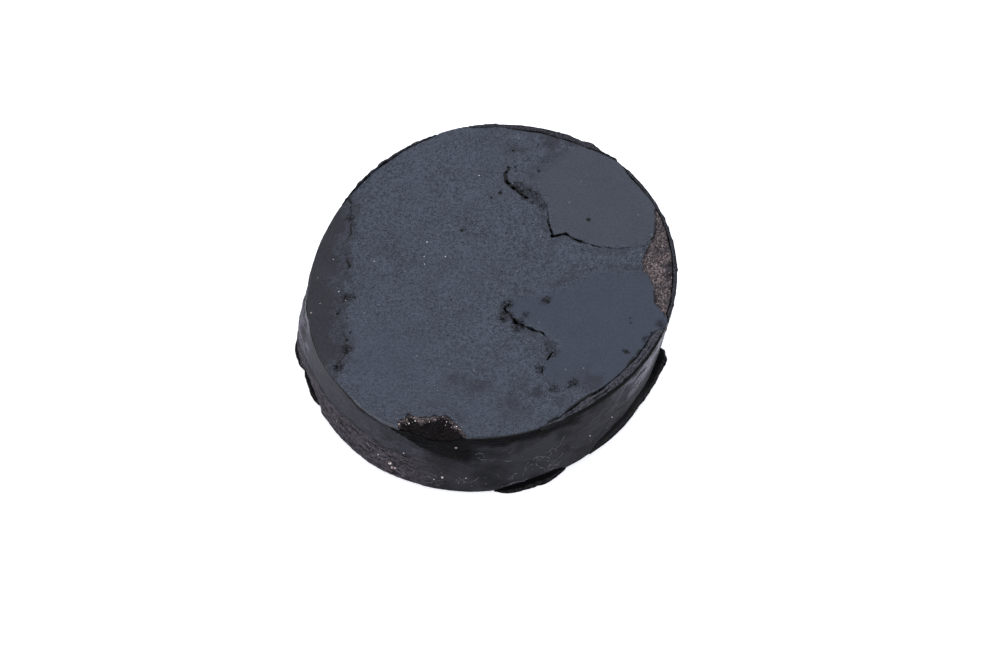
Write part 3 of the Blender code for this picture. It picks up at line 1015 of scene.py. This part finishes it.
def core_height(points):
    """The core's upper surface: low under the skins, level at the patch, sloping in the chip."""
    patch = edge_distance(points, PATCH)
    chip = edge_distance(points, CHIP)
    grit = fractal(points, 0.5, 3, 61, 0.7)
    at_patch = TOP_Z - 0.05 + 0.06 * grit
    at_chip = TOP_Z - 0.10 - CHIP_SLOPE * np.maximum(chip, 0.0) + 0.15 * grit * ramp(chip, 0.0, 0.6)
    z = blend(CORE_LEVEL, at_patch, ramp(patch, -0.4, -0.15))
    return np.where(chip > -0.45, blend(CORE_LEVEL, at_chip, ramp(chip, -0.4, -0.15)), z)


def core_edge(theta):
    """Plan radius of the core: inside the wall, out to the rim at the patch and the chip."""
    out = in_sector(theta, -20.0, 25.0, 2.0) * (CORE_REACH - flash_width(theta))
    chip = in_sector(theta, 236.0, 261.0, 2.0) * CORE_REACH
    return rim_radius(theta) - CORE_INSET + out + chip


def core_top(points):
    return np.stack([points[:, 0], points[:, 1], core_height(points)], axis=1)


def core_base(points):
    radius, theta = polar(points)
    r = radius / core_edge(theta) * (foot_radius(theta) - CORE_FOOT_INSET)
    return at_angle(r, theta, 0.0)


def core_flecks(points):
    chip = edge_distance(points, CHIP)
    sides = spots(points, ((-9.2, -16.7, 1.2, 1.0), (-5.2, -17.0, 1.0, 0.8), (-4.0, -17.8, 0.8, 1.0)))
    edge = ramp(chip, -0.2, 0.05) * ramp(chip, 0.6, 0.2) * sides
    return np.maximum(edge, 0.6 * ramp(edge_distance(points, PATCH), -0.2, 0.1))


def core_deep(points):
    chip = edge_distance(points, CHIP)
    wedge = bell(edge_distance(points, PATCH), 0.15) * 0.5
    gaps = spots(points, ((20.6, 0.5, 0.35, 1.0), (20.2, -0.9, 0.25, 1.0), (20.3, -2.6, 0.35, 1.0)))
    brown = ramp(chip + 0.25 * fractal(points, 0.6, 2, 65), 0.05, 0.45)
    return np.maximum.reduce([brown, wedge, gaps])


core_fields = {"fleck": core_flecks, "deep": core_deep}
sheet_radius, sheet_theta = polar(sheet_points)
core_points, core_faces = clip(sheet_points, sheet_faces, core_edge(sheet_theta) - sheet_radius)
core = shell("core_grit", core_points, core_faces, core_top, core_base, core_coat("core_coat"), core_fields)
place_piece(core, "core", "core")

# ---------------------------------------------------------------- wall

LIP = 0.15
WALL_THICK = 1.4
FLASH_FOOT = 10.55


def chip_brink(theta):
    """Height at which the wall ends under the chip, where the core's slope runs out over it."""
    brink = in_plan(rim_radius(theta) - 0.05, theta)
    return np.where(edge_distance(brink, CHIP) > 0.1, core_height(brink) + 0.04, TOP_Z)


def wall_surface(theta, z):
    return wall_radius(theta, z) + wall_relief(theta, z)


def wall_outer(theta, z):
    """The wall's outer side, with its rounded foot."""
    low = np.maximum(FOOT_ROUND - z, 0.0)
    inset = FOOT_ROUND - np.sqrt(np.maximum(FOOT_ROUND**2 - low**2, 0.0))
    return at_angle(wall_surface(theta, z) - inset, theta, z)


def wall_inner(theta, z):
    """The wall's inner side, which leaves a thin lip beside the top skins."""
    lip = ramp(z, CORE_LEVEL, SKIN_FLOOR - 0.05)
    thick = blend(WALL_THICK, LIP, lip)
    r = blend(wall_radius(theta, z), wall_surface(theta, z), lip) - thick
    return at_angle(r, theta, z)


def wall_sheen(theta, z):
    """Painted highlight: a pale sheen painted into the colour high on the right of the wall and on the left
    bulge, where the wall is also made glossier.
    """
    degrees = np.degrees(theta) % 360.0
    broken = ramp(fractal(on_wall(theta, z) * (1.0, 1.0, 2.0), 1.5, 3, 55), -0.6, 0.5)
    right = ramp(degrees, 304.0, 334.0) * in_sector(theta, 300.0, 350.0, 8.0)
    right = 1.3 * right * ramp(z, 4.5, 7.5) * ramp(z, 11.2, 10.6)
    left = 0.75 * in_sector(theta, 174.0, 184.0, 14.0) * ramp(z, 2.6, 5.0) * ramp(z, 11.1, 10.0)
    return np.clip(np.maximum(right, left) * broken, 0.0, 1.0)


def painted_wall_shade(theta, z):
    """Painted shade: blackness painted under the rim at the front, below the chip and along the foot."""
    wave = 0.5 * fractal(on_wall(theta, z), 1.6, 3, 53)
    brow = in_sector(theta, 258.0, 294.0, 8.0) * ramp(z + wave, 8.8, 10.0)
    edge = skin_edge_z(theta)
    deep = 0.55 + 0.6 * in_sector(theta, 222.0, 250.0, 6.0)
    thin = 0.9 * in_sector(theta, 185.0, 335.0, 5.0) * ramp(z, edge - deep, edge - 0.15)
    chip = in_sector(theta, 236.0, 261.0, 5.0) * ramp(z + 1.4 * wave, 6.4, 7.8)
    total = np.maximum.reduce([brow, thin, chip * (1 - 0.7 * swipe(theta, z))])
    foot = 0.5 * ramp(z, 0.5, 0.15)
    return np.clip(np.maximum(total, foot), 0.0, 1.0)


def wall_dust(theta, z):
    """More dust low on the front left of the wall, and along the right foot flash."""
    left = in_sector(theta, 215.0, 290.0, 25.0) * ramp(z, 6.0, 2.5)
    right = in_sector(theta, 296.0, 325.0, 6.0) * ramp(z, 5.6, 3.4)
    return np.maximum(0.6 * left, 0.9 * right)


def by_row(function):
    """The same function for points that each hold an angle and a height."""
    return lambda points: function(points[:, 0], points[:, 1])


FOOT_ROWS = (0.0, 0.04, 0.12, 0.22, 0.35)
wall_rows = np.concatenate([FOOT_ROWS, np.arange(0.5, TOP_Z, WALL_CELL)])
band_points, band_faces = ring_grid(wall_rows)
band_theta, band_z = band_points[:, 0], band_points[:, 1]
band_top = blend(skin_edge_z(band_theta), FLASH_FOOT, flash_share(band_theta)) - SEAM
band_top = np.minimum(band_top, chip_brink(band_theta))
band_points, band_faces = clip(band_points, band_faces, band_top - band_z)
wall_fields = {"swipe": swipe, "rough": rough, "dark": painted_wall_shade, "sheen": wall_sheen, "dust": wall_dust}
wall_fields = {key: by_row(field) for key, field in wall_fields.items()}
wall_sides = by_row(wall_outer), by_row(wall_inner)
wall = shell("side_skin_wall", band_points, band_faces, *wall_sides, wall_coat("wall_coat"), wall_fields)
place_piece(wall, "side_skin", "side_skin")

# ---------------------------------------------------------------- flash

# Sections of the rim flash and of the rib, from the outer edge inwards: share of width, rise, soot. At the
# rib's outer edge the soot is painted shadow under the rim's edge.
FLASH_TOP = (
    (1.0, -0.10, 0.9), (0.92, -0.01, 0.6), (0.7, 0.0, 0.1), (0.45, 0.01, 0.0), (0.2, 0.0, 0.1),
    (0.05, -0.04, 0.5),
)
# The rib's first rows carry its dark outer line, a painted shadow under the rim's edge.
RIB_TOP = (
    (1.0, -0.45, 0.9), (0.92, -0.28, 0.8), (0.78, -0.10, 0.4), (0.62, 0.03, 0.0),
    (0.48, 0.00, 0.5), (0.36, 0.05, 0.0), (0.22, 0.04, 0.1), (0.06, -0.04, 0.4),
)
FLASH_STEPS = 2.6
FIN_INSET = 0.32


def rim_fin(key, coat):
    """A rim flash: flush with the wall outside, torn along its outer edge."""
    row = RIM_FLASHES[key]
    top = RIB_TOP if key == "rim_rib_front" else FLASH_TOP
    count = int((row[1] - row[0]) * FLASH_STEPS)
    degrees = np.linspace(row[0], row[1], count)
    theta = np.radians(degrees)
    after, before = past_ends(degrees, row)
    end = ramp(np.minimum(after, before), -0.3, 2.0)
    around = on_wall(theta, 0.0)
    crest = TOP_Z + row[6] * (0.4 + fractal(around, 1.1, 3, 71)) - 0.3 * (1 - end)
    teeth = sum(out * bell(degrees - angle, reach) for angle, reach, out in RIM_TEETH)
    torn = 0.04 if key == "rim_rib_front" else 0.10
    wavy = ramp(fractal(around, 1.3, 3, 75), -0.5, 0.5)
    tip = rim_radius(theta) - 0.04 + torn * fractal(around, 0.9, 3, 73, 0.75) + teeth * end
    gap = 0.02 + 0.05 * ramp(fractal(around, 0.8, 2, 79), -0.1, 0.5)
    width = flash_widths(theta, row)
    inner = rim_radius(theta) - width + np.minimum(gap, 0.5 * width)
    tuck = 0.04 * (1 - end)
    brow = crest + top[0][1] - 0.12
    behind = LIP + SEAM
    corners = [(np.minimum(inner, rim_radius(theta) - FIN_INSET), SKIN_FLOOR + SEAM)]
    corners.append((wall_surface(theta, SKIN_FLOOR + SEAM) - behind, SKIN_FLOOR + SEAM))
    corners.append((wall_surface(theta, FLASH_FOOT) - behind, FLASH_FOOT))
    corners.append((wall_surface(theta, FLASH_FOOT) - tuck, FLASH_FOOT))
    corners.append((wall_surface(theta, brow) - tuck, np.maximum(brow, FLASH_FOOT + SEAM)))
    soot_and_shade_levels = [1.0, 1.0, 1.0, 0.9, 0.6]
    for share, lift, black in top:
        r = blend(inner, tip, share + 0.10 * (wavy - 0.5) * (0.2 < share < 0.8))
        bumps = 0.06 * fractal(in_plan(r, theta), 0.5, 2, 77)
        corners.append((r, crest + lift * np.minimum(1.0, width / 0.5) + bumps))
        soot_and_shade_levels.append(black * (0.3 + 1.2 * wavy) if share < 0.8 else black)
    corners.append((inner, crest - 0.3))
    soot_and_shade_levels.append(1.0)
    return strip(key + "_fin", theta, corners, coat, soot_and_shade_levels)


rim_coat = flash_coat("rim_flash_coat", (0.006, 0.006, 0.008), (0.040, 0.039, 0.047), 0.08)
rib_coat = flash_coat("rim_rib_coat", (0.012, 0.013, 0.017), (0.064, 0.063, 0.072), 0.06)
for name in RIM_FLASHES:
    fin = rim_fin(name, rib_coat if name == "rim_rib_front" else rim_coat)
    place_piece(fin, "rim_flash", name)


def foot_fin(key, coat):
    """A foot flash: a torn wedge against the wall, thin at its tip."""
    angles, out, high = np.array(FOOT_FLASHES[key]).T
    degrees = np.linspace(angles[0], angles[-1], int((angles[-1] - angles[0]) * FLASH_STEPS))
    theta = np.radians(degrees)
    around = on_wall(theta, 0.0)
    out = np.interp(degrees, angles, out) * (1 + 0.16 * fractal(around, 0.9, 3, 81)) + 0.02
    high = np.interp(degrees, angles, high) * (1 + 0.10 * fractal(around, 1.2, 3, 83))
    corners = []
    for share, lift in ((0.85, 0.01), (1.0, 0.10), (0.95, 0.30), (0.7, 0.55), (0.45, 0.78), (0.12, 0.97)):
        z = lift * high
        corners.append((wall_surface(theta, z) + share * out, z))
    corners.append((wall_surface(theta, high) - 0.3, 0.95 * high))
    corners.insert(0, (wall_surface(theta, 0.0) - 0.5, 0.01))
    return strip(key + "_fin", theta, corners, coat, [1.0, 1.0, 0.8, 0.3, 0.3, 0.7, 1.0, 1.0])


foot_coat = flash_coat("foot_flash_coat", (0.0015, 0.0015, 0.0015), (0.026, 0.023, 0.024), 0.015, 0.60)
for name in FOOT_FLASHES:
    place_piece(foot_fin(name, foot_coat), "foot_flash", name)

# ---------------------------------------------------------------- dust and lint

# Single pale grains on the top: x, y, radius.
GRAINS = (
    (-6.0, 5.6, 0.07), (-6.4, 3.7, 0.06), (-6.4, 2.7, 0.06), (-4.1, 3.5, 0.05), (0.2, 14.1, 0.06),
    (-19.0, -2.3, 0.09), (-15.9, 0.0, 0.06), (-16.4, 4.4, 0.05), (-15.2, -1.3, 0.05),
    (-18.0, -1.2, 0.04), (-11.9, 3.6, 0.05),
)
# Lumps of dust on the wall: angle, height, radius.
WALL_GRAINS = (
    (236.0, 2.7, 0.20), (236.8, 2.1, 0.16), (237.8, 2.2, 0.13), (258.0, 9.2, 0.12),
    (253.0, 2.9, 0.13), (250.3, 2.2, 0.06), (260.2, 3.1, 0.06), (232.0, 3.3, 0.07),
    (241.0, 5.8, 0.07), (214.0, 3.0, 0.06), (301.5, 4.7, 0.06), (310.5, 5.3, 0.06),
)
# Broken specks along the chip's top edge, in three runs: start, stop, count, largest radius.
CHIP_RUNS = (
    ((-10.0, -16.9), (-8.2, -16.7), 15, 0.09),
    ((-7.6, -17.0), (-5.4, -17.0), 6, 0.06),
    ((-5.5, -17.0), (-3.7, -18.3), 13, 0.09),
)
# Tangles of fine fibres on the wall: angle, height, spread in degrees and in height, count.
TANGLES = (
    (231.5, 3.4, 2.5, 0.7, 6), (240.5, 2.5, 3.0, 0.6, 6), (249.5, 2.1, 2.5, 0.5, 6),
    (260.0, 3.4, 3.0, 1.6, 4), (277.0, 2.2, 3.0, 1.2, 7), (285.5, 3.6, 4.5, 2.4, 20),
    (268.0, 7.0, 12.0, 2.0, 4),
)
FIBRE_RADIUS = 0.016
FIBRE_STEPS = 22
GRAIN_SIDES = 8


def grain_mesh(centres, radii):
    """Small uneven lumps, one closed body each."""
    places = []
    polygons = []
    rows = GRAIN_SIDES // 2
    for number, (centre, radius) in enumerate(zip(centres, radii)):
        base = len(places)
        ring_points = [(0.0, 0.0, 1.0), (0.0, 0.0, -1.0)]
        for row in range(1, rows):
            tilt = math.pi * row / rows
            for side in range(GRAIN_SIDES):
                turn = 2 * math.pi * side / GRAIN_SIDES
                flat = math.sin(tilt)
                ring_points.append((flat * math.cos(turn), flat * math.sin(turn), math.cos(tilt)))
        lump = np.array(ring_points)
        lump = lump * (1 + 0.35 * noise(lump + 5.3 * number, 0.8, 101))[:, None]
        places += (np.array(centre) + radius * lump).tolist()
        for side in range(GRAIN_SIDES):
            following = (side + 1) % GRAIN_SIDES
            polygons.append((base, base + 2 + side, base + 2 + following))
            low = base + 2 + (rows - 2) * GRAIN_SIDES
            polygons.append((base + 1, low + following, low + side))
            for row in range(rows - 2):
                a = base + 2 + row * GRAIN_SIDES
                b = a + GRAIN_SIDES
                polygons.append((a + side, b + side, b + following, a + following))
    return places, polygons


def grain_places():
    """Centres and radii of all the pale grains, half sunk in the surfaces that they stick to."""
    flat = np.array(GRAINS)
    centres = over_rim(flat[:, :2])
    radii = flat[:, 2].tolist()
    angles, heights, sizes = np.array(WALL_GRAINS).T
    theta = np.radians(angles)
    out = wall_surface(theta, heights) + 0.2 * sizes
    wall_centres = at_angle(out, theta, heights)
    chip_centres = []
    for run, (start, stop, count, size) in enumerate(CHIP_RUNS):
        steps = np.linspace(0.0, 1.0, count)[:, None]
        numbers = np.arange(count)[:, None]
        spread = [lattice(numbers, 111 + run), lattice(numbers, 121 + run), lattice(numbers, 131 + run)]
        path = np.array(start) * (1 - steps) + np.array(stop) * steps
        path = path + np.stack([spread[0] - 0.5, 0.9 * spread[1] - 0.6], axis=1) * 0.8
        inside = edge_distance(path, CHIP) > 0.0
        z = np.where(inside, core_height(path), over_rim(path)[:, 2])
        chip_centres.append(np.column_stack([path, z]))
        radii_here = size * (0.3 + 0.7 * spread[2] ** 2)
        sizes = np.concatenate([sizes, radii_here])
    return np.concatenate([centres, wall_centres, *chip_centres]), radii + sizes.tolist()


grain_points, grain_faces = grain_mesh(*grain_places())
grain_coat = dust_coat("dust_coat", (0.26, 0.19, 0.17), (0.78, 0.72, 0.72))
grains = solid("dust_grains", grain_points, grain_faces, grain_coat)
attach(grains, "root")


def fibre_path(angle, height, length, heading, turn, seed):
    """A wandering curl lying on the wall, as 3D points."""
    share = np.linspace(0.0, length, FIBRE_STEPS)
    wander = 70.0 * fractal(np.stack([share, 0 * share + seed], axis=1), 0.7, 2, 141)
    way = np.radians(heading + turn * share + wander)
    step = length / (FIBRE_STEPS - 1)
    across = np.concatenate([[0.0], np.cumsum(np.cos(way[:-1]) * step)])
    upward = np.concatenate([[0.0], np.cumsum(np.sin(way[:-1]) * step)])
    z = np.clip(height + upward, 0.4, 10.0)
    theta = math.radians(angle) + across / MEAN_RADIUS
    r = wall_surface(theta, z) + 1.5 * FIBRE_RADIUS
    return at_angle(r, theta, z)


def tangle_paths():
    """Every fibre of every tangle, spread by fixed random numbers."""
    paths = []
    for tangle, (angle, height, wide, tall, count) in enumerate(TANGLES):
        for number in range(count):
            cell = np.array([[number, tangle]])
            chance = [float(lattice(cell, 150 + i)[0]) - 0.5 for i in range(5)]
            place = (angle + 2 * wide * chance[0], height + 2 * tall * chance[1])
            shape = (1.7 + 1.8 * chance[2], 360.0 * chance[3], 260.0 * chance[4])
            paths.append(fibre_path(*place, *shape, 7.0 * number + tangle))
    return paths


lint_data = bpy.data.curves.new("lint_fibres", "CURVE")
lint_data.dimensions = "3D"
lint_data.bevel_depth = FIBRE_RADIUS * MM
lint_data.bevel_resolution = 1
lint_data.use_fill_caps = True
for path in tangle_paths():
    spline = lint_data.splines.new("POLY")
    spline.points.add(len(path) - 1)
    for point, place in zip(spline.points, (path * MM).tolist()):
        point.co = (*place, 1.0)
lint_data.materials.append(dust_coat("lint_coat", (0.05, 0.05, 0.06), (0.18, 0.17, 0.19)))
lint = add_object("lint_fibres", lint_data)
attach(lint, "root")

# ---------------------------------------------------------------- studio

FLOOR_SIZE = 1.6
bpy.ops.mesh.primitive_plane_add(size=FLOOR_SIZE, location=(0.0, 0.0, 0.0))
floor = bpy.context.object
floor.name = "studio_floor"
floor_nodes = Nodes("studio_floor_coat", 0.1)
floor_nodes.shader.inputs["Base Color"].default_value = (0.94, 0.94, 0.94, 1.0)
floor_nodes.shader.inputs["Roughness"].default_value = 0.9
floor_nodes.shader.inputs["Emission Color"].default_value = (1.0, 1.0, 1.0, 1.0)
floor_nodes.shader.inputs["Emission Strength"].default_value = 0.3
floor.data.materials.append(floor_nodes.material)

world = bpy.data.worlds.new("studio_world")
world.use_nodes = True
world.node_tree.nodes["Background"].inputs["Color"].default_value = (0.90, 0.92, 1.0, 1.0)
world.node_tree.nodes["Background"].inputs["Strength"].default_value = 1.35
bpy.context.scene.world = world


def area_light(name, place, target, width, height, energy, colour=(1.0, 1.0, 1.0)):
    data = bpy.data.lights.new(name, "AREA")
    data.shape = "RECTANGLE"
    data.size = width
    data.size_y = height
    data.energy = energy
    data.color = colour
    lamp = add_object(name, data)
    lamp.location = place
    lamp.rotation_euler = (Vector(target) - Vector(place)).to_track_quat("-Z", "Y").to_euler()


area_light("softbox_back", (0.12, 0.30, 0.50), (0.0, 0.0, 0.01), 0.40, 0.30, 1.2, (0.86, 0.92, 1.0))
area_light("softbox_front", (-0.25, -0.45, 0.45), (0.0, 0.0, 0.0), 0.35, 0.35, 0.5)

# The camera looks down at 57 degrees from the front, tipped a little about its own axis.
CAMERA_ELEVATION = math.radians(57.3)
CAMERA_TIP = math.radians(4.0)
CAMERA_DISTANCE = 300.0
CAMERA_LENS = 98.0
CAMERA_TARGET = np.array((1.3, -3.0, 5.0))

back = np.array((0.0, -math.cos(CAMERA_ELEVATION), math.sin(CAMERA_ELEVATION)))
level_up = np.array((0.0, math.sin(CAMERA_ELEVATION), math.cos(CAMERA_ELEVATION)))
level_right = np.array((1.0, 0.0, 0.0))
right = math.cos(CAMERA_TIP) * level_right - math.sin(CAMERA_TIP) * level_up
up = math.sin(CAMERA_TIP) * level_right + math.cos(CAMERA_TIP) * level_up
camera_data = bpy.data.cameras.new("camera")
camera_data.lens = CAMERA_LENS
camera = add_object("camera", camera_data)
spot = (CAMERA_TARGET + back * CAMERA_DISTANCE) * MM
camera.matrix_world = Matrix(
    [[right[i], up[i], back[i], spot[i]] for i in range(3)] + [[0.0, 0.0, 0.0, 1.0]]
)
bpy.context.scene.camera = camera
bpy.context.scene.view_settings.view_transform = "Standard"
